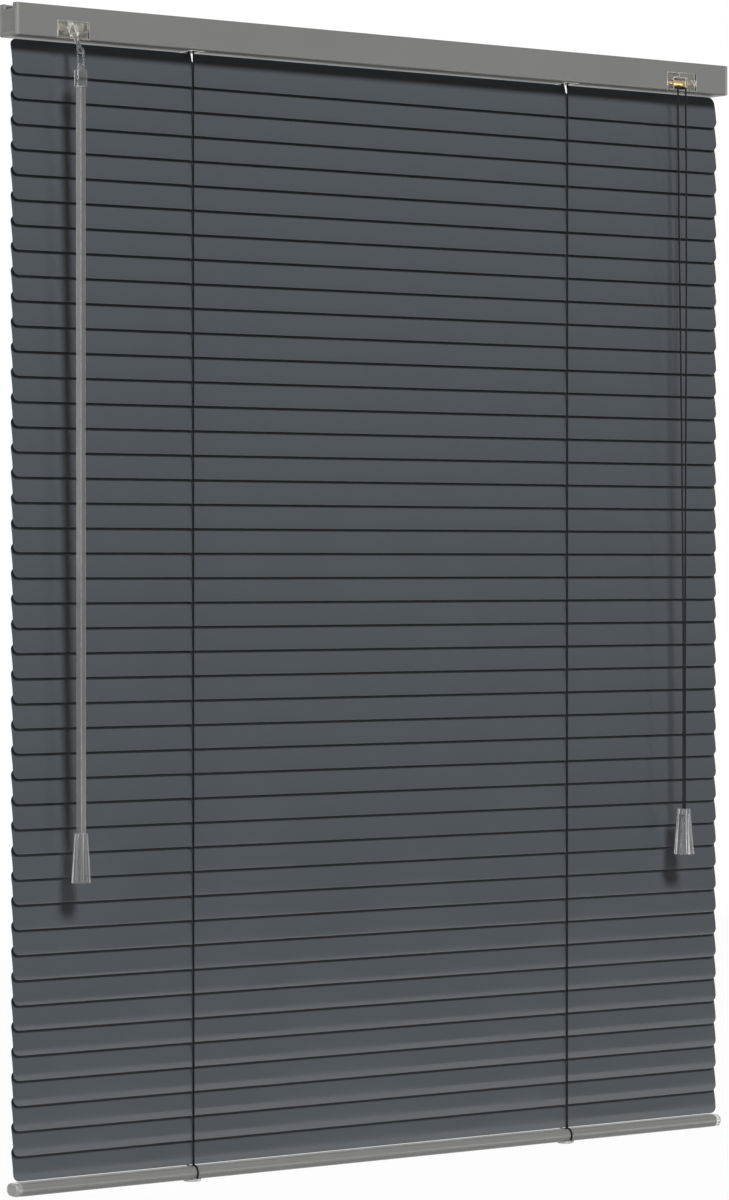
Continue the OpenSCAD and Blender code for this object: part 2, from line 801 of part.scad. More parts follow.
// Curved sheet whose middle line lies on the X axis, hollow side down
module slat_sheet() {
    intersection() {
        translate([0, 0, -slat_bend_r]) bar(slat_l) difference() {
            circle(slat_bend_r + slat_t / 2);
            circle(slat_bend_r - slat_t / 2);
        }
        translate([0, 0, -slat_crown - slat_t]) linear_extrude(slat_crown + 2 * slat_t) slat_outline();
    }
}

// The ladder's rungs under a slat, beside its cords
module slat_rungs() {
    pair(ladder_x)
        translate([-rung_shift - rung_t / 2, -rung_l / 2, rung_bite - slat_crown - slat_t / 2 - rung_t])
            cube([rung_t, rung_l, rung_t]);
}

module slat(i) {
    color([0.34, 0.35, 0.36])
    translate([0, axis_y, slat_z(i)]) rotate([closed_tilt, 0, 0]) {
        slat_sheet();
        if (i < slat_count) slat_rungs();
    }
}

headrail();
headrail_fittings();
tilter_case();
tilter_worm();
tilt_shaft();
cord_lock_case();
cord_lock_roller();
wand_link();
wand();
front_ladder_cords();
back_ladder_cords();
lift_cords();
cord_tassel();
bottom_rail();
bottom_rail_fittings();
for (i = [1 : slat_count])
    slat(i);
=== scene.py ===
"""Aluminium venetian blind, hung with its slats closed, in a plain studio."""

import logging
import math
from collections.abc import Callable, Sequence
from dataclasses import dataclass
from enum import Enum

import bmesh
import bpy
from bmesh.types import BMesh, BMVert
from bpy.types import Material, Node, NodeSocket, NodeTree, Object, Scene
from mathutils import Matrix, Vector


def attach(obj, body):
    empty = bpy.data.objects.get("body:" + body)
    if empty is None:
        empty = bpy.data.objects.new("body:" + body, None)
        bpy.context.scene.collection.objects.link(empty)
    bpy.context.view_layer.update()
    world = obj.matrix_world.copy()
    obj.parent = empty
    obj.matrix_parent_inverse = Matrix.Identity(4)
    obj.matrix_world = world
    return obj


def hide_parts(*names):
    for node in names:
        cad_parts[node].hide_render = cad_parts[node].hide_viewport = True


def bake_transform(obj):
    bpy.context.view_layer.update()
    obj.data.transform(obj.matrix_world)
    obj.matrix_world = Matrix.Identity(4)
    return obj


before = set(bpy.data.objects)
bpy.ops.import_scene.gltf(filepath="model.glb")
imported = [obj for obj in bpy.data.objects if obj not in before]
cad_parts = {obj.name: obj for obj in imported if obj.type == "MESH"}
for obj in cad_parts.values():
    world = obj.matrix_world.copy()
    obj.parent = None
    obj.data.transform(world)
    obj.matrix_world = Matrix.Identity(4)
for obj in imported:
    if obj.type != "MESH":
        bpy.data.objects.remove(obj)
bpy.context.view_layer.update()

LOG = logging.getLogger("blind")

Colour = tuple[float, float, float]
Rgba = tuple[float, float, float, float]
Point = tuple[float, float, float]
Pair = tuple[float, float]

# Places in the blind, in millimetres unless they say otherwise.
MM = 0.001
AXIS_Y = -13.5
ROD_Z = -2.0
LADDER_X = 210.0
CLOSED_TILT = math.radians(80)

# Values that several finishes share.
NOISE_LOW, NOISE_HIGH = 0.3, 0.7
FLAKE_SHARE, DRIFT_SHARE = 0.6, 0.4
DUST_COLOUR, DUST_SHARE = (0.5, 0.49, 0.46), 0.12
BLACK, WHITE = (0.0, 0.0, 0.0), (1.0, 1.0, 1.0)


def mm(x: float, y: float, z: float) -> Vector:
    """Gives a point in metres.

    Args:
        x: Its place along the blind, in millimetres.
        y: Its place across the blind, in millimetres.
        z: Its height, in millimetres.

    Returns:
        The point.
    """
    return Vector((x, y, z)) * MM


def tint(colour: Colour, times: float = 1.0, plus: float = 0.0) -> Rgba:
    """Gives a lighter or darker form of a colour, with full alpha.

    Args:
        colour: The colour to start from.
        times: What each part is multiplied by.
        plus: What each part gets on top.

    Returns:
        The new colour, which stays within 1.
    """
    red, green, blue = (min(1.0, times * part + plus) for part in colour)
    return red, green, blue, 1.0


class Graph:
    """A shader node tree that is being drawn up, in a material, a world or a group."""

    def __init__(self, tree: NodeTree) -> None:
        """Takes a tree and empties it.

        Args:
            tree: The tree to draw in.
        """
        self.tree = tree
        tree.nodes.clear()

    def add(self, kind: str, inputs: dict | None = None, **settings: object) -> Node:
        """Adds one node.

        Args:
            kind: The node's type, without its ShaderNode prefix.
            inputs: Values or sockets for its inputs, by name or number.
            settings: The node's own properties.

        Returns:
            The new node.
        """
        node = self.tree.nodes.new(kind if kind.startswith("NodeGroup") else "ShaderNode" + kind)
        for name, value in settings.items():
            setattr(node, name, value)
        for name, value in (inputs or {}).items():
            self.feed(node.inputs[name], value)
        return node

    def feed(self, socket: NodeSocket, value: object) -> None:
        """Links another node's socket to a socket, or sets its value.

        Args:
            socket: The socket that is fed.
            value: The other socket, or the value.
        """
        if isinstance(value, NodeSocket):
            self.tree.links.new(value, socket)
        else:
            socket.default_value = value

    def math(self, operation: str, first: object, second: object = 0.0) -> NodeSocket:
        """Adds a Math node.

        Args:
            operation: What it does.
            first: Its first value or socket.
            second: Its second value or socket.

        Returns:
            The socket of the result.
        """
        return self.add("Math", {0: first, 1: second}, operation=operation).outputs[0]

    def ramp(self, value: object, low: float, high: float, out: Pair) -> NodeSocket:
        """Maps a value smoothly from one stretch to another.

        Args:
            value: The socket to map.
            low: Where the stretch starts.
            high: Where the stretch ends.
            out: The results at the start and at the end.

        Returns:
            The socket of the mapped value.
        """
        inputs = {"Value": value, "From Min": low, "From Max": high, "To Min": out[0], "To Max": out[1]}
        return self.add("MapRange", inputs, interpolation_type="SMOOTHSTEP").outputs[0]

    def mix(self, share: object, first: object, second: object) -> NodeSocket:
        """Mixes two colours.

        Args:
            share: The second colour's share.
            first: The first colour, or its socket.
            second: The second colour, or its socket.

        Returns:
            The socket of the mixed colour.
        """
        node = self.add("Mix", data_type="RGBA")
        for number, value in ((0, share), (6, first), (7, second)):
            self.feed(node.inputs[number], value)
        return node.outputs[2]

    def effect(self, group: NodeTree, inputs: dict[str, float]) -> Node:
        """Places one of the shared effects.

        Args:
            group: The effect's node group.
            inputs: Its values here.

        Returns:
            The group's node.
        """
        node = self.add("Group", node_tree=group)
        for name, value in inputs.items():
            self.feed(node.inputs[name], value)
        return node


class Skin(Graph):
    """A material that is being drawn up, with its one Principled shader."""

    def __init__(self, name: str) -> None:
        """Starts the material.

        Args:
            name: The material's name.
        """
        self.material = bpy.data.materials.new(name)
        self.material.use_nodes = True
        super().__init__(self.material.node_tree)
        self.shader = self.add("BsdfPrincipled")
        self.output = self.add("OutputMaterial", {"Surface": self.shader.outputs[0]})

    def wear(self, inputs: dict[str, object]) -> None:
        """Feeds the shader's own sockets.

        Args:
            inputs: Values or sockets, by the name of the shader's input.
        """
        for name, value in inputs.items():
            self.feed(self.shader.inputs[name], value)

    def roughen(self, noise: NodeSocket, span: Pair) -> None:
        """Lets the roughness drift with a noise.

        Args:
            noise: The noise's socket.
            span: The least and the most roughness.
        """
        self.wear({"Roughness": self.ramp(noise, NOISE_LOW, NOISE_HIGH, span)})

    def emboss(self, height: NodeSocket, strength: float, distance: float) -> None:
        """Gives the surface a relief.

        Args:
            height: The socket of its height.
            strength: How strongly it shows.
            distance: How tall it is, in metres.
        """
        bump = self.add("Bump", {"Strength": strength, "Distance": distance, "Height": height})
        self.wear({"Normal": bump.outputs[0]})


class Effects:
    """The shared surface effects, each a node group that is built once."""

    def __init__(self) -> None:
        """Builds every group."""
        self.grain = self._group(
            "fine_grain", {"Scale": 400.0, "Stretch": 1.0}, ("Value", "Broad"), self._grain
        )
        # An edge mask that the finishes use for painted highlights along edges, partly standing for wear.
        self.edge_light_and_wear = self._group("painted_edge_light_and_wear", {"Radius": 0.0006, "Breakup": 300.0}, ("Mask",), self._edge_light_and_wear)
        self.dust = self._group("settled_dust", {"Scale": 60.0}, ("Mask",), self._dust)
        self.braid = self._group(
            "braided_yarn", {"Around": 6.0, "Pitch": 0.0022}, ("Height", "Groove Shade"), self._braid
        )

    def _group(
        self,
        name: str,
        inputs: dict[str, float],
        outputs: Sequence[str],
        draw: Callable[[Graph, Node], list[NodeSocket]],
    ) -> NodeTree:
        """Makes one node group.

        Args:
            name: The group's name.
            inputs: Its inputs and their usual values.
            outputs: Its outputs' names.
            draw: Draws the nodes and gives the socket of each output.

        Returns:
            The finished group.
        """
        tree = bpy.data.node_groups.new(name, "ShaderNodeTree")
        graph = Graph(tree)
        for key, value in inputs.items():
            socket = tree.interface.new_socket(key, in_out="INPUT", socket_type="NodeSocketFloat")
            socket.default_value = value
        for key in outputs:
            tree.interface.new_socket(key, in_out="OUTPUT", socket_type="NodeSocketFloat")
        start = graph.add("NodeGroupInput")
        end = graph.add("NodeGroupOutput")
        for number, socket in enumerate(draw(graph, start)):
            graph.feed(end.inputs[number], socket)
        return tree

    def _grain(self, graph: Graph, start: Node) -> list[NodeSocket]:
        """Draws fine grain that can be stretched along the blind, and its broad drift.

        Args:
            graph: The group's graph.
            start: The group's inputs.

        Returns:
            The sockets of the grain and of the drift.
        """
        place = graph.add("TexCoord").outputs["Object"]
        stretch = graph.add("CombineXYZ", {"X": start.outputs["Stretch"], "Y": 1.0, "Z": 1.0})
        along = graph.add("VectorMath", {0: place, 1: stretch.outputs[0]}, operation="MULTIPLY").outputs[0]
        fine = graph.add("TexNoise", {"Vector": along, "Scale": start.outputs["Scale"], "Detail": 4.0})
        broad = graph.add("TexNoise", {"Vector": place, "Scale": 9.0, "Detail": 2.0})
        return [fine.outputs[0], broad.outputs[0]]

    def _edge_light_and_wear(self, graph: Graph, start: Node) -> list[NodeSocket]:
        """Draws a mask of the edges, broken up by noise; the finishes use it for painted edge highlights
        and, in part, for wear.

        Args:
            graph: The group's graph.
            start: The group's inputs.

        Returns:
            The socket of the mask.
        """
        # Marks edges only; the finishes paint highlights onto what it marks.
        soft = graph.add("Bevel", {"Radius": start.outputs["Radius"]}, samples=4).outputs[0]
        plain = graph.add("NewGeometry").outputs["Normal"]
        match = graph.add("VectorMath", {0: soft, 1: plain}, operation="DOT_PRODUCT").outputs["Value"]
        edge = graph.ramp(match, 0.97, 0.8, (0.0, 1.0))
        place = graph.add("TexCoord").outputs["Object"]
        noise = graph.add("TexNoise", {"Vector": place, "Scale": start.outputs["Breakup"], "Detail": 2.0})
        return [graph.math("MULTIPLY", edge, graph.ramp(noise.outputs[0], 0.35, 0.65, (0.4, 1.0)))]

    def _dust(self, graph: Graph, start: Node) -> list[NodeSocket]:
        """Draws a mask of thin dust on what faces up.

        Args:
            graph: The group's graph.
            start: The group's inputs.

        Returns:
            The socket of the mask.
        """
        up = graph.add("SeparateXYZ", {0: graph.add("NewGeometry").outputs["Normal"]}).outputs["Z"]
        place = graph.add("TexCoord").outputs["Object"]
        noise = graph.add("TexNoise", {"Vector": place, "Scale": start.outputs["Scale"], "Detail": 5.0})
        level = graph.ramp(up, 0.5, 1.0, (0.0, 1.0))
        patches = graph.ramp(noise.outputs[0], 0.4, 0.75, (0.1, 1.0))
        return [graph.math("MULTIPLY", level, patches)]

    def _braid(self, graph: Graph, start: Node) -> list[NodeSocket]:
        """Draws two crossing families of yarns round a cord, from its own unrolled map, with painted shade
        in the grooves between them.

        Args:
            graph: The group's graph.
            start: The group's inputs.

        Returns:
            The sockets of the yarns' height and of the painted shade that darkens the grooves.
        """
        parts = graph.add("SeparateXYZ", {0: graph.add("TexCoord").outputs["UV"]})
        turn = graph.math("MULTIPLY", parts.outputs["X"], start.outputs["Around"])
        step = graph.math("DIVIDE", parts.outputs["Y"], start.outputs["Pitch"])
        waves = []
        for operation in ("ADD", "SUBTRACT"):
            phase = graph.math("MULTIPLY", graph.math(operation, turn, step), 2 * math.pi)
            waves.append(graph.math("ABSOLUTE", graph.math("SINE", phase)))
        height = graph.math("MAXIMUM", waves[0], waves[1])
        # Low places between the yarns give a darker value: painted shade in the grooves.
        return [height, graph.ramp(height, 0.3, 0.95, (0.55, 1.0))]


class Sheen(Enum):
    """How rough a paint is."""

    SATIN = 0.36
    ENAMEL = 0.13


@dataclass(frozen=True)
class Paint:
    """A stoved paint on sheet metal, with a faint orange peel, metal flake and painted highlights along its
    edges.
    """

    name: str
    colour: Colour
    sheen: Sheen
    peel: float = 0.04
    # How strongly the edges get their painted highlight, partly standing for wear.
    edge: float = 0.25
    specular: float = 0.08

    def material(self, effects: Effects) -> Material:
        """Builds the paint's material.

        Args:
            effects: The shared effects.

        Returns:
            The material.
        """
        skin = Skin(self.name)
        grain = skin.effect(effects.grain, {"Scale": 1500.0, "Stretch": 1.0})
        peel = skin.effect(effects.grain, {"Scale": 420.0, "Stretch": 0.5})
        edge_light_and_wear = skin.effect(effects.edge_light_and_wear, {"Radius": 0.0005, "Breakup": 260.0}).outputs["Mask"]
        dust = skin.effect(effects.dust, {"Scale": 70.0}).outputs["Mask"]
        flake = skin.math("MULTIPLY", grain.outputs["Value"], FLAKE_SHARE)
        drift = skin.math("MULTIPLY", grain.outputs["Broad"], DRIFT_SHARE)
        base = skin.mix(skin.math("ADD", flake, drift), tint(self.colour, 0.93), tint(self.colour, 1.07))
        # Edges are lightened: a painted highlight along them, partly bare-metal wear.
        base = skin.mix(skin.math("MULTIPLY", edge_light_and_wear, self.edge), base, tint(self.colour, 1.6, 0.03))
        base = skin.mix(skin.math("MULTIPLY", dust, DUST_SHARE), base, tint(DUST_COLOUR))
        skin.wear({"Base Color": base, "Specular IOR Level": self.specular})
        rough = self.sheen.value
        skin.roughen(grain.outputs["Broad"], (rough - 0.04, rough + 0.05))
        skin.emboss(peel.outputs["Value"], self.peel, 0.0002)
        return skin.material


@dataclass(frozen=True)
class Moulding:
    """An opaque moulded plastic with a fine spark-eroded texture and painted highlights along its edges."""

    name: str
    colour: Colour
    roughness: float = 0.45

    def material(self, effects: Effects) -> Material:
        """Builds the plastic's material.

        Args:
            effects: The shared effects.

        Returns:
            The material.
        """
        skin = Skin(self.name)
        grain = skin.effect(effects.grain, {"Scale": 900.0, "Stretch": 1.0})
        edge_light_and_wear = skin.effect(effects.edge_light_and_wear, {"Radius": 0.0006, "Breakup": 200.0}).outputs["Mask"]
        base = skin.mix(grain.outputs["Broad"], tint(self.colour, 0.94), tint(self.colour, 1.06))
        # Edges are lightened: a painted highlight, partly wear.
        base = skin.mix(skin.math("MULTIPLY", edge_light_and_wear, 0.5), base, tint(self.colour, 1.35, 0.02))
        skin.wear({"Base Color": base})
        skin.roughen(grain.outputs["Value"], (self.roughness - 0.05, self.roughness + 0.07))
        skin.emboss(grain.outputs["Value"], 0.08, 0.0002)
        return skin.material


@dataclass(frozen=True)
class ClearPlastic:
    """A clear or hazed moulding, or acrylic, whose edges glow with painted light from an emission."""

    name: str
    colour: Colour
    clearness: float
    roughness: float
    # How bright the painted glow along the edges is.
    glint: float
    ior: float = 1.45

    def material(self, effects: Effects) -> Material:
        """Builds the clear plastic's material.

        Args:
            effects: The shared effects.

        Returns:
            The material.
        """
        skin = Skin(self.name)
        grain = skin.effect(effects.grain, {"Scale": 260.0, "Stretch": 1.0})
        edge_light_and_wear = skin.effect(effects.edge_light_and_wear, {"Radius": 0.0008, "Breakup": 120.0}).outputs["Mask"]
        skin.wear({
            "Base Color": skin.mix(grain.outputs["Broad"], tint(self.colour, 0.9), tint(self.colour)),
            # The edges glow: painted light, an emission in the plastic's colour scaled by glint.
            "Emission Color": skin.mix(edge_light_and_wear, tint(BLACK), tint(self.colour, self.glint)),
            "Emission Strength": 1.0,
            "IOR": self.ior,
            "Transmission Weight": self.clearness,
        })
        skin.roughen(grain.outputs["Value"], (self.roughness, self.roughness + 0.08))
        skin.emboss(grain.outputs["Value"], 0.05, 0.0003)
        return skin.material


@dataclass(frozen=True)
class BareMetal:
    """A bare metal with drawn or turned lines and painted highlights along its edges."""

    name: str
    colour: Colour
    roughness: float
    stretch: float

    def material(self, effects: Effects) -> Material:
        """Builds the metal's material.

        Args:
            effects: The shared effects.

        Returns:
            The material.
        """
        skin = Skin(self.name)
        lines = skin.effect(effects.grain, {"Scale": 1200.0, "Stretch": self.stretch}).outputs["Value"]
        edge_light_and_wear = skin.effect(effects.edge_light_and_wear, {"Radius": 0.0003, "Breakup": 500.0}).outputs["Mask"]
        base = skin.mix(lines, tint(self.colour, 0.8), tint(self.colour))
        # Edges are lightened: a painted highlight, partly wear.
        skin.wear({"Base Color": skin.mix(edge_light_and_wear, base, tint(self.colour, 1.3)), "Metallic": 1.0})
        skin.roughen(lines, (self.roughness, self.roughness + 0.15))
        skin.emboss(lines, 0.1, 0.0001)
        return skin.material


@dataclass(frozen=True)
class Yarn:
    """A braided polyester cord, with painted shade in the grooves of its braid."""

    name: str
    colour: Colour
    around: float
    pitch: float

    def material(self, effects: Effects) -> Material:
        """Builds the cord's material.

        Args:
            effects: The shared effects.

        Returns:
            The material.
        """
        skin = Skin(self.name)
        braid = skin.effect(effects.braid, {"Around": self.around, "Pitch": self.pitch})
        grain = skin.effect(effects.grain, {"Scale": 2500.0, "Stretch": 1.0}).outputs["Value"]
        fluff = skin.ramp(grain, NOISE_LOW, NOISE_HIGH, (0.8, 1.0))
        groove_shade = skin.math("MULTIPLY", braid.outputs["Groove Shade"], fluff)
        skin.wear({
            # Grooves between the yarns are painted darker and crests lighter: painted shade and highlight.
            "Base Color": skin.mix(groove_shade, tint(self.colour, 0.4), tint(self.colour, 1.25)),
            "Sheen Weight": 0.03,
            "Specular IOR Level": 0.1,
        })
        skin.roughen(grain, (0.62, 0.8))
        skin.emboss(braid.outputs["Height"], 0.6, 0.00012)
        return skin.material


@dataclass(frozen=True)
class Finishes:
    """Every material of the blind, by the piece that wears it."""

    rail: Material
    base_rail: Material
    slat: Material
    cap: Material
    case: Material
    frost: Material
    acrylic: Material
    wand_rod: Material
    drum: Material
    steel: Material
    brass: Material
    ladder: Material
    cord: Material

    @classmethod
    def build(cls) -> "Finishes":
        """Builds the effects, then each finish.

        Returns:
            The finishes.
        """
        kinds = {
            "rail": Paint("rail_paint", (0.2, 0.2, 0.195), Sheen.SATIN, specular=0.2),
            "base_rail": Paint("base_rail_paint", (0.18, 0.18, 0.176), Sheen.SATIN, specular=0.3),
            "slat": Paint("slat_enamel", (0.079, 0.089, 0.099), Sheen.ENAMEL, edge=0.8),
            "cap": Moulding("cap_plastic", (0.27, 0.27, 0.262)),
            "case": ClearPlastic("case_plastic", (0.94, 0.93, 0.87), 0.98, 0.03, 0.8),
            "frost": ClearPlastic("frosted_plastic", (0.88, 0.88, 0.86), 0.7, 0.12, 0.25),
            "acrylic": ClearPlastic("wand_acrylic", (0.7, 0.715, 0.725), 0.97, 0.02, 0.18),
            "wand_rod": ClearPlastic("wand_rod_acrylic", (0.31, 0.318, 0.322), 0.55, 0.05, 1.9, 1.19),
            "drum": Moulding("drum_plastic", (0.72, 0.71, 0.67), 0.4),
            "steel": BareMetal("rod_steel", (0.62, 0.62, 0.63), 0.28, 0.05),
            "brass": BareMetal("roller_brass", (0.62, 0.45, 0.2), 0.25, 6.0),
            "ladder": Yarn("ladder_yarn", (0.006, 0.0065, 0.007), 5.0, 0.0016),
            "cord": Yarn("pull_cord_yarn", (0.011, 0.012, 0.014), 6.0, 0.0018),
        }
        effects = Effects()
        return cls(**{key: kind.material(effects) for key, kind in kinds.items()})


def dress(node: str, *materials: Material, pick: Callable[[Vector], int] | None = None) -> None:
    """Gives a CAD node its materials.

    Args:
        node: The node's name.
        materials: The materials, in the order of their slots.
        pick: Gives the slot of a face from its centre; without it the first material takes all.
    """
    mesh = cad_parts[node].data
    mesh.materials.clear()
    for material in materials:
        mesh.materials.append(material)
    for face in mesh.polygons:
        face.material_index = pick(face.center) if pick else 0
    LOG.info("%s wears %s", node, ", ".join(m.name for m in materials))


def eased(points: Sequence[Vector], step: float, most: int = 10) -> list[Vector]:
    """Rounds a route's corners with a curve through its points.

    Args:
        points: The route's points.
        step: The length of a stretch of the result, about.
        most: The most stretches between two of the route's points.

    Returns:
        Points on the curve, the route's own among them.
    """
    rows = [2 * points[0] - points[1], *points, 2 * points[-1] - points[-2]]
    result = [points[0].copy()]
    for a, b, c, d in zip(rows, rows[1:], rows[2:], rows[3:]):
        span = (c - b).length
        leave = (c - b) / span + (b - a).normalized()
        arrive = (d - c).normalized() + (c - b) / span
        first, last = leave.normalized() * span, arrive.normalized() * span
        count = max(1, min(most, round(span / step)))
        for k in range(1, count + 1):
            t = k / count
            result.append(
                (2 * t**3 - 3 * t**2 + 1) * b + (t**3 - 2 * t**2 + t) * first
                + (3 * t**2 - 2 * t**3) * c + (t**3 - t**2) * last
            )
    return result


def sweep(bm: BMesh, path: Sequence[Vector], radius: float, sides: int = 10) -> None:
    """Sweeps a round cord along a path, with a map of its length and its girth.

    Args:
        bm: The mesh that takes the cord.
        path: The points of its centre line.
        radius: Its radius.
        sides: The number of sides round it.
    """
    layer = bm.loops.layers.uv.verify()
    rings, side, run = [], None, 0.0
    for k, point in enumerate(path):
        ahead = (path[min(k + 1, len(path) - 1)] - path[max(k - 1, 0)]).normalized()
        if side is None:
            side = ahead.orthogonal()
        side = (side - side.dot(ahead) * ahead).normalized()
        other = ahead.cross(side)
        run += (point - path[k - 1]).length if k else 0.0
        ring = []
        for n in range(sides):
            turn = 2 * math.pi * n / sides
            ring.append(bm.verts.new(point + radius * (math.cos(turn) * side + math.sin(turn) * other)))
        rings.append((ring, run))
    for (low, start), (high, end) in zip(rings, rings[1:]):
        for n in range(sides):
            m = (n + 1) % sides
            face = bm.faces.new((low[n], low[m], high[m], high[n]))
            face.smooth = True
            places = ((n, start), (n + 1, start), (n + 1, end), (n, end))
            for loop, (around, along) in zip(face.loops, places):
                loop[layer].uv = (around / sides, along)
    bm.faces.new(list(reversed(rings[0][0])))
    bm.faces.new(rings[-1][0])


def bead(bm: BMesh, centre: Vector, radius: float, tall: float) -> None:
    """Adds a knot, a lumpy bead with three turns of cord pulled into it.

    Args:
        bm: The mesh that takes the knot.
        centre: The knot's centre.
        radius: Its radius.
        tall: Its height.
    """
    made = bmesh.ops.create_uvsphere(bm, u_segments=24, v_segments=16, radius=1.0)["verts"]
    for v in made:
        turn = math.atan2(v.co.y, v.co.x)
        swell = 0.9 + 0.1 * abs(math.sin(1.5 * turn + 4.0 * v.co.z))
        v.co = centre + Vector((v.co.x * radius * swell, v.co.y * radius * swell, v.co.z * tall / 2))
    for face in {f for v in made for f in v.link_faces}:
        face.smooth = True


def finish_mesh(bm: BMesh, name: str, material: Material) -> Object:
    """Turns a mesh that is being made into an object of the scene.

    Args:
        bm: The mesh, which is freed.
        name: The object's name.
        material: Its material.

    Returns:
        The new object.
    """
    mesh = bpy.data.meshes.new(name)
    bm.to_mesh(mesh)
    bm.free()
    mesh.materials.append(material)
    made = bpy.data.objects.new(name, mesh)
    bpy.context.scene.collection.objects.link(made)
    LOG.info("%s has %d faces", name, len(mesh.polygons))
    return made


@dataclass
class Headrail:
    """The folded headrail with its end caps and drum cradles; the rims' sizes are in millimetres."""

    cap_from: float = 385 * MM
    cap_face: float = 397.5
    cap_low: Pair = (-27.0, -14.0)
    cap_high: Pair = (0.0, 9.5)
    rim_steps: tuple[Pair, ...] = ((-0.2, 0.8), (0.6, 0.8), (0.6, 2.4), (-0.2, 4.2))

    def dress(self, finishes: Finishes) -> None:
        """Gives the channel its paint and the fittings their plastics.

        Args:
            finishes: The blind's materials.
        """
        dress("headrail", finishes.rail)
        dress("headrail_fittings", finishes.cap, finishes.case, pick=lambda c: int(abs(c.x) < self.cap_from))

    def build(self, finishes: Finishes) -> None:
        """Moulds the raised rim round the outer face of each end cap.

        Args:
            finishes: The blind's materials.
        """
        for name, side in (("left_cap_rim", -1), ("right_cap_rim", 1)):
            bm = bmesh.new()
            loops = [self._loop(bm, side * (self.cap_face + rise), inset) for rise, inset in self.rim_steps]
            for near, far in zip(loops, loops[1:] + loops[:1]):
                for k, after in enumerate((1, 2, 3, 0)):
                    bm.faces.new((near[k], near[after], far[after], far[k]))
            bmesh.ops.recalc_face_normals(bm, faces=bm.faces)
            rim = finish_mesh(bm, name, finishes.cap)
            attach(rim, "frame")

    def _loop(self, bm: BMesh, x: float, inset: float) -> list[BMVert]:
        """Gives the corners of a rectangle that lies that far inside the cap's edge.

        Args:
            bm: The mesh that takes the corners.
            x: Where the rectangle lies, in millimetres.
            inset: How far it lies inside the cap's edge, in millimetres.

        Returns:
            The four corners, in order.
        """
        front, foot = (low + inset for low in self.cap_low)
        back, head = (high - inset for high in self.cap_high)
        corners = ((front, foot), (back, foot), (back, head), (front, head))
        return [bm.verts.new(mm(x, y, z)) for y, z in corners]


@dataclass
class Tilter:
    """The tilter, its rod with drums and wheel, and the wand; sizes are in metres."""

    rod_half: float = 2.05 * MM
    wand_span: Pair = (-0.69, -0.07)

    def dress(self, finishes: Finishes) -> None:
        """Gives each piece of the tilting gear its material.

        Args:
            finishes: The blind's materials.
        """
        dress("tilter_case", finishes.case)
        dress("tilter_worm", finishes.acrylic)
        dress("tilt_shaft", finishes.steel, finishes.drum, pick=self._is_moulded)
        dress("wand_link", finishes.acrylic)
        dress("wand", finishes.acrylic, finishes.wand_rod, pick=self._is_wand_rod)

    def _is_moulded(self, centre: Vector) -> int:
        """Tells a face of the drums and the wheel from one of the rod.

        Args:
            centre: The face's centre.

        Returns:
            1 for the drums and the wheel, 0 for the rod.
        """
        return int(max(abs(centre.y - AXIS_Y * MM), abs(centre.z - ROD_Z * MM)) > self.rod_half)

    def _is_wand_rod(self, centre: Vector) -> int:
        """Tells a face of the wand's rod from one of its ferrule and its grip.

        Args:
            centre: The face's centre.

        Returns:
            1 for the rod, 0 for the ferrule and the grip.
        """
        low, high = self.wand_span
        return int(low < centre.z < high)


@dataclass
class CordLock:
    """The cord lock in the headrail's right end."""

    def dress(self, finishes: Finishes) -> None:
        """Gives the case and the roller their materials.

        Args:
            finishes: The blind's materials.
        """
        dress("cord_lock_case", finishes.case)
        dress("cord_lock_roller", finishes.brass)


@dataclass
class SlatStack:
    """The slats, all but the last with its two rungs; sizes are in metres."""

    count: int = 45
    first_z: float = -29.7 * MM
    pitch: float = 21.5 * MM
    rung_depth: float = -1.14 * MM

    def dress(self, finishes: Finishes) -> None:
        """Gives the sheets their enamel and the rungs their yarn.

        Args:
            finishes: The blind's materials.
        """
        for n in range(self.count):
            level = self.first_z - n * self.pitch
            dress(
                f"slat_{n + 1:02d}", finishes.slat, finishes.ladder,
                pick=lambda c, z=level: self._is_rung(c, z),
            )

    def _is_rung(self, centre: Vector, level: float) -> int:
        """Tells a face of a rung from one of the sheet, by its depth behind the slat.

        Args:
            centre: The face's centre.
            level: The height of the slat's axis.

        Returns:
            1 for a rung, 0 for the sheet.
        """
        across, up = centre.y - AXIS_Y * MM, centre.z - level
        return int(-across * math.sin(CLOSED_TILT) + up * math.cos(CLOSED_TILT) < self.rung_depth)


@dataclass
class BottomRail:
    """The bottom rail with its end caps and cord plugs."""

    def dress(self, finishes: Finishes) -> None:
        """Gives the tube its paint and the fittings their plastic.

        Args:
            finishes: The blind's materials.
        """
        dress("bottom_rail", finishes.base_rail)
        dress("bottom_rail_fittings", finishes.frost)


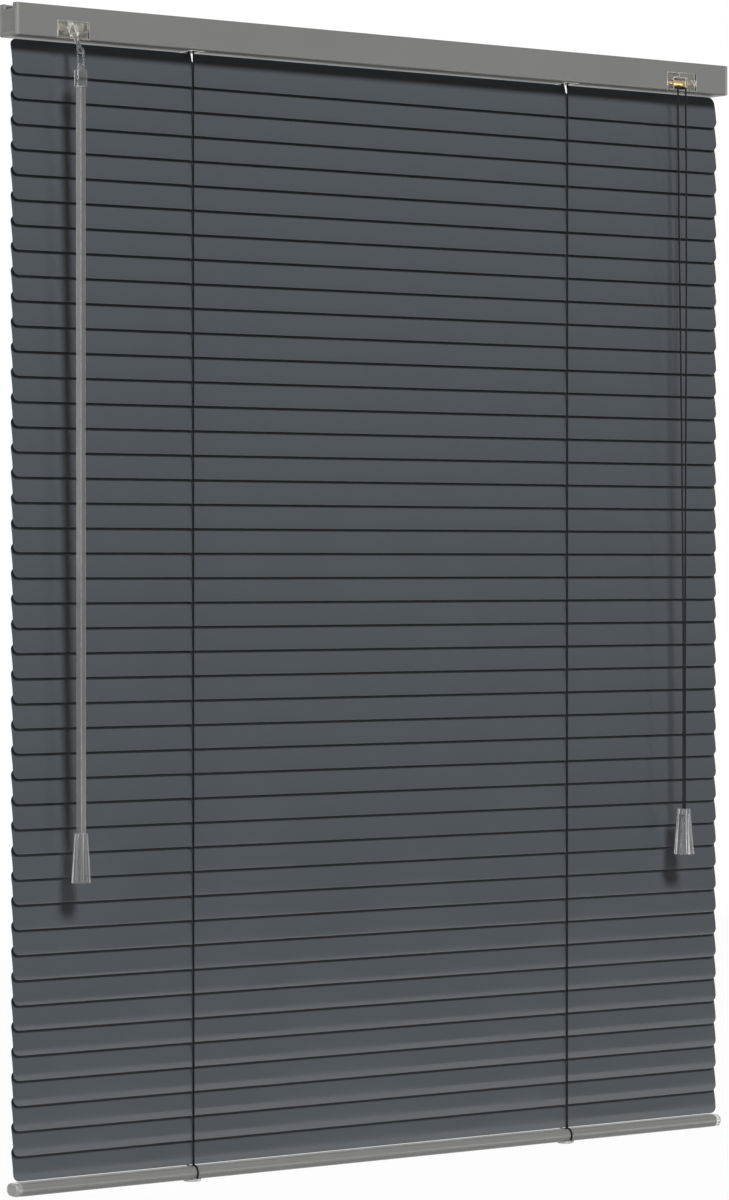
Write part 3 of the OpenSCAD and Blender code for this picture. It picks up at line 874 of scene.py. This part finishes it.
@dataclass
class Ladders:
    """The two ladders' cords, in stretches; some are carried by the body that holds them, and the straight
    ones stay where they are built; places are in millimetres.
    """

    radius: float = 0.7 * MM
    wrap: float = 7.35
    wrap_steps: int = 8
    front_y: float = -16.245
    back_y: float = -8.785
    front_nose_z: float = -14.3
    back_nose_z: float = -12.6
    first_ties: Pair = (-46.477, -13.367)
    last_ties: Pair = (-970.977, -937.867)
    foot_z: float = -990.7
    base_z: float = -997.65
    tail_half: float = 3.25
    tail_r: float = 6.65
    tail_from: float = -75
    tail_turn: float = 118
    tail_steps: int = 14

    def build(self, finishes: Finishes) -> None:
        """Builds every stretch of the four cords.

        Args:
            finishes: The blind's materials.
        """
        self._front(finishes)
        self._back(finishes)

    def _front(self, finishes: Finishes) -> None:
        """Builds the front cords, from the drums to the bottom rail.

        Args:
            finishes: The blind's materials.
        """
        node = "front_ladder_cords"
        across, drop = self.wrap * math.cos(CLOSED_TILT), self.wrap * math.sin(CLOSED_TILT)
        tie = (AXIS_Y - across, ROD_Z - drop)
        nose, foot = (self.front_y, self.front_nose_z), (self.front_y, self.foot_z)
        first, last = (self.front_y, self.first_ties[0]), (self.front_y, self.last_ties[0])
        self._bent("front_drum_drop", [tie, nose], node, finishes)
        self._bent("front_top_stretch", [nose, first], node, finishes)
        self._fixed("front_strings", [first, last], node, "front_ladder", finishes)
        self._bent("front_foot_stretch", [foot, last], node, finishes)
        self._fixed("front_rail_tails", [foot, *self._tail(-1)], node, "frame", finishes)

    def _back(self, finishes: Finishes) -> None:
        """Builds the back cords, which wrap the drums first.

        Args:
            finishes: The blind's materials.
        """
        node = "back_ladder_cords"
        turns = [CLOSED_TILT * k / self.wrap_steps for k in range(self.wrap_steps, -1, -1)]
        arc = [(AXIS_Y + self.wrap * math.cos(a), ROD_Z + self.wrap * math.sin(a)) for a in turns]
        nose, foot = (self.back_y, self.back_nose_z), (self.back_y, self.foot_z)
        first, last = (self.back_y, self.first_ties[1]), (self.back_y, self.last_ties[1])
        self._fixed("back_drum_wraps", arc, node, "tilt_shaft", finishes)
        self._bent("back_drum_drop", [arc[-1], nose], node, finishes)
        self._bent("back_top_stretch", [nose, first], node, finishes)
        self._fixed("back_strings", [first, last], node, "back_ladder", finishes)
        self._bent("back_foot_stretch", [foot, last], node, finishes)
        self._fixed("back_rail_tails", [foot, *self._tail(1)], node, "frame", finishes)

    def _tail(self, way: int) -> list[Pair]:
        """Gives a tail's points round the bottom rail.

        Args:
            way: -1 for a tail in front of the rail, 1 for one behind it.

        Returns:
            The points, across the blind.
        """
        points = []
        for k in range(self.tail_steps + 1):
            turn = math.radians(self.tail_from + self.tail_turn * k / self.tail_steps)
            out = self.tail_half + self.tail_r * math.cos(turn)
            points.append((AXIS_Y + way * out, self.base_z - self.tail_r * math.sin(turn)))
        return points

    def _stretch(self, name: str, route: Sequence[Pair], node: str, finishes: Finishes) -> Object:
        """Sweeps one stretch at both ladders.

        Args:
            name: The piece's name.
            route: Its points across the blind.
            node: The CAD node that it stands for.
            finishes: The blind's materials.

        Returns:
            The piece, which isn't fixed to a body yet.
        """
        bm = bmesh.new()
        for x in (-LADDER_X, LADDER_X):
            sweep(bm, [mm(x, y, z) for y, z in route], self.radius)
        piece = finish_mesh(bm, name, finishes.ladder)
        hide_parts(node)
        return piece

    def _fixed(self, name: str, route: Sequence[Pair], node: str, body: str, finishes: Finishes) -> None:
        """Makes a stretch that one body carries.

        Args:
            name: The piece's name.
            route: Its points across the blind.
            node: The CAD node that it stands for.
            body: The body that carries it.
            finishes: The blind's materials.
        """
        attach(self._stretch(name, route, node, finishes), body)

    def _bent(
        self, name: str, route: Sequence[Pair], node: str, finishes: Finishes
    ) -> None:
        """Makes a straight stretch between two bodies.

        Args:
            name: The piece's name.
            route: Its two ends, across the blind.
            node: The CAD node that it stands for.
            finishes: The blind's materials.
        """
        piece = self._stretch(name, route, node, finishes)
        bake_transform(piece)


@dataclass(frozen=True)
class Strand:
    """One lift cord's own places, in millimetres."""

    side: str
    ladder: float
    across: tuple[Point, ...]
    mouth: float
    hang: float
    end: float

    def held(self) -> list[Point]:
        """Gives the run from the bottom rail up its ladder and along the headrail to the lock.

        Returns:
            The run's points.
        """
        rise = (
            (0, AXIS_Y, -1002.6), (0, AXIS_Y, -997.65), (2.2, -12.3, -991.9), (2.2, -5.4, -981.7),
            (2.2, -5.4, -970), (2.2, -5.4, -500), (2.2, -5.4, -22), (2.2, -5.4, -14), (2.2, -5.8, -11.4),
            (2.2, -7.4, -10.2), (2.2, AXIS_Y, -10.2), (3, -16.5, -10.2), (5, -19.5, -10.2),
        )
        return [*((self.ladder + x, y, z) for x, y, z in rise), *self.across, (self.mouth, -27, -10.6)]

    def free(self) -> list[Point]:
        """Gives the run from the lock's mouth to the knot in the tassel.

        Returns:
            The run's points.
        """
        lip = ((-27, -10.6), (-29.2, -11.2), (-29.6, -13.2), (-29.6, -22.2), (-30.6, -90.2))
        tassel = ((-38.563, -524.75), (-38.563, self.end))
        return [*((self.mouth, y, z) for y, z in lip), *((self.hang, y, z) for y, z in tassel)]


@dataclass
class LiftCords:
    """The two lift cords, held from the bottom rail to the lock and then hanging free to the tassel."""

    radius: float = 0.8 * MM
    knot_r: float = 1.8 * MM
    knot_h: float = 3.2 * MM
    held_step: float = 2 * MM
    free_step: float = 0.6 * MM
    strands: tuple[Strand, Strand] = (
        Strand(
            "left", -LADDER_X,
            ((-202, -23.6, -10.2), (-186, -23.6, -10.2), (321.45, -23.6, -10.2), (329.45, -23.6, -10.2),
             (332.45, -24.6, -10.6)),
            mouth=333.45, hang=332.8, end=-700,
        ),
        Strand(
            "right", LADDER_X,
            ((218, -21.4, -10.2), (330.95, -21.4, -10.2), (338.95, -21.4, -10.2), (341.95, -23, -10.6)),
            mouth=342.95, hang=335.2, end=-705,
        ),
    )

    def build(self, finishes: Finishes) -> None:
        """Builds the held runs, the free pull cords and their knots.

        Args:
            finishes: The blind's materials.
        """
        for strand in self.strands:
            self._run(f"{strand.side}_lift_run", strand.held(), self.held_step, finishes)
        left, right = (
            self._run(f"{strand.side}_pull_cord", strand.free(), self.free_step, finishes)
            for strand in self.strands
        )
        left_knot = self._knot("left_knot", left[1][-1], finishes)
        right_knot = self._knot("right_knot", right[1][-1], finishes)
        dress("cord_tassel", finishes.acrylic)

    def _run(
        self, name: str, route: Sequence[Point], step: float, finishes: Finishes
    ) -> tuple[Object, list[Vector]]:
        """Sweeps one run of a cord.

        Args:
            name: The run's name.
            route: The points that it goes through, in millimetres.
            step: The length of a stretch of its curve, about.
            finishes: The blind's materials.

        Returns:
            The run and the points of its centre line.
        """
        bm = bmesh.new()
        path = eased([mm(*point) for point in route], step)
        sweep(bm, path, self.radius)
        piece = finish_mesh(bm, name, finishes.cord)
        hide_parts("lift_cords")
        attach(piece, "frame")
        return piece, path

    def _knot(self, name: str, end: Vector, finishes: Finishes) -> Object:
        """Ties the knot under a pull cord's end.

        Args:
            name: The knot's name.
            end: The cord's end.
            finishes: The blind's materials.

        Returns:
            The knot.
        """
        bm = bmesh.new()
        bead(bm, end - Vector((0, 0, self.knot_h / 2)), self.knot_r, self.knot_h)
        knot = finish_mesh(bm, name, finishes.cord)
        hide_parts("lift_cords")
        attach(knot, "frame")
        return knot


class Reach(Enum):
    """What a softbox lights. None is seen by the camera or through clear plastic."""

    MATT_AND_GLOSS = "matt_and_gloss"
    GLOSS = "gloss"
    MATT = "matt"


@dataclass
class Lamp:
    """One softbox."""

    name: str
    place: Point
    aim: Point
    size: Pair
    power: float
    reach: Reach = Reach.MATT_AND_GLOSS

    def hang(self) -> None:
        """Puts the softbox in the studio."""
        data = bpy.data.lights.new(self.name, "AREA")
        data.shape, data.size, data.size_y, data.energy = "RECTANGLE", *self.size, self.power
        made = bpy.data.objects.new(self.name, data)
        made.location = self.place
        made.rotation_euler = (Vector(self.aim) - made.location).to_track_quat("-Z", "Y").to_euler()
        made.visible_camera = made.visible_transmission = False
        made.visible_diffuse = self.reach is not Reach.GLOSS
        made.visible_glossy = self.reach is not Reach.MATT
        bpy.context.scene.collection.objects.link(made)


@dataclass
class Studio:
    """The camera, the softboxes, the pale floor and the white surround; places are in metres."""

    eye: Point = (-2.284, -3.126, -0.4645)
    yaw: float = 36.0
    dip: float = 0.464
    lens: float = 127.7
    sensor: float = 36.0
    clip_end: float = 60.0
    surround: float = 0.03
    behind: float = 0.06
    floor_z: float = -1.45
    floor_half: float = 6.0
    floor_grey: float = 0.25
    floor_roughness: float = 0.9
    floor_white: float = 0.97
    lamps: tuple[Lamp, ...] = (
        Lamp("key_softbox", (-0.8, -7.0, 6.4), (0, 0, -0.45), (2.2, 2.2), 900.0),
        Lamp("side_softbox", (-4.0, -0.5, 0.1), (-0.39, -0.0135, 0), (1.2, 1.2), 42.0),
        Lamp("floor_bounce", (0.3, -0.55, -1.44), (0.3, -0.55, 0), (2.6, 1.5), 5.0),
        Lamp("low_panel", (2.35, -3.2, -1.12), (0, 0, -1.12), (2.4, 0.64), 34.0, Reach.GLOSS),
        Lamp("fold_panel", (1.3, -1.0, -1.44), (1.3, -1.0, 0), (2.8, 1.9), 90.0, Reach.GLOSS),
        Lamp("back_softbox", (0.6, 3.0, -0.4), (0, 0, -0.5), (2.4, 1.6), 70.0, Reach.MATT),
    )

    def build(self) -> None:
        """Sets up everything round the blind."""
        scene = bpy.context.scene
        scene.view_settings.view_transform = "Standard"
        self._camera(scene)
        for lamp in self.lamps:
            lamp.hang()
        self._surround(scene)
        self._floor()

    def _camera(self, scene: Scene) -> None:
        """Places the camera left of the blind, level with its middle.

        Args:
            scene: The scene that it films.
        """
        data = bpy.data.cameras.new("camera")
        data.lens, data.sensor_width, data.clip_end = self.lens, self.sensor, self.clip_end
        made = bpy.data.objects.new("camera", data)
        made.location = self.eye
        made.rotation_euler = (math.radians(90 - self.dip), 0.0, -math.radians(self.yaw))
        scene.collection.objects.link(made)
        scene.camera = made

    def _seen(self, graph: Graph) -> NodeSocket:
        """Tells rays that look from rays that light.

        Args:
            graph: The graph that takes the nodes.

        Returns:
            The socket, which is 1 for rays of the camera, of gloss and of clear plastic.
        """
        path = graph.add("LightPath")
        seen = graph.math("MAXIMUM", path.outputs["Is Camera Ray"], path.outputs["Is Glossy Ray"])
        return graph.math("MAXIMUM", seen, path.outputs["Is Transmission Ray"])

    def _surround(self, scene: Scene) -> None:
        """Makes the world white to look at and dim to be lit by.

        Args:
            scene: The scene that it surrounds.
        """
        world = bpy.data.worlds.new("surround")
        world.use_nodes = True
        scene.world = world
        graph = Graph(world.node_tree)
        depth = graph.add("SeparateXYZ", {0: graph.add("TexCoord").outputs["Generated"]}).outputs["Y"]
        lit = graph.ramp(depth, -0.2, 0.4, (self.surround, self.behind))
        level = graph.math("MAXIMUM", lit, self._seen(graph))
        light = graph.add("Background", {"Color": tint(WHITE), "Strength": level})
        graph.add("OutputWorld", {"Surface": light.outputs[0]})

    def _floor(self) -> None:
        """Lays the floor well below the blind, nearly white to look at."""
        bm = bmesh.new()
        bmesh.ops.create_grid(bm, x_segments=1, y_segments=1, size=self.floor_half)
        for v in bm.verts:
            v.co.z = self.floor_z
        skin = Skin("pale_floor")
        skin.wear({"Base Color": tint(WHITE, self.floor_grey), "Roughness": self.floor_roughness})
        white = skin.add("Emission", {"Color": tint(WHITE), "Strength": 1.0})
        share = skin.math("MULTIPLY", self._seen(skin), self.floor_white)
        both = skin.add("MixShader", {0: share, 1: skin.shader.outputs[0], 2: white.outputs[0]})
        skin.feed(skin.output.inputs["Surface"], both.outputs[0])
        finish_mesh(bm, "floor", skin.material)


def main() -> None:
    """Builds the studio and the blind, piece by piece."""
    logging.basicConfig(level=logging.INFO, format="%(name)s: %(message)s")
    Studio().build()
    finishes = Finishes.build()
    headrail = Headrail()
    for part in (headrail, LiftCords(), Ladders()):
        part.build(finishes)
    for part in (headrail, Tilter(), CordLock(), SlatStack(), BottomRail()):
        part.dress(finishes)


if __name__ == "__main__":
    main()
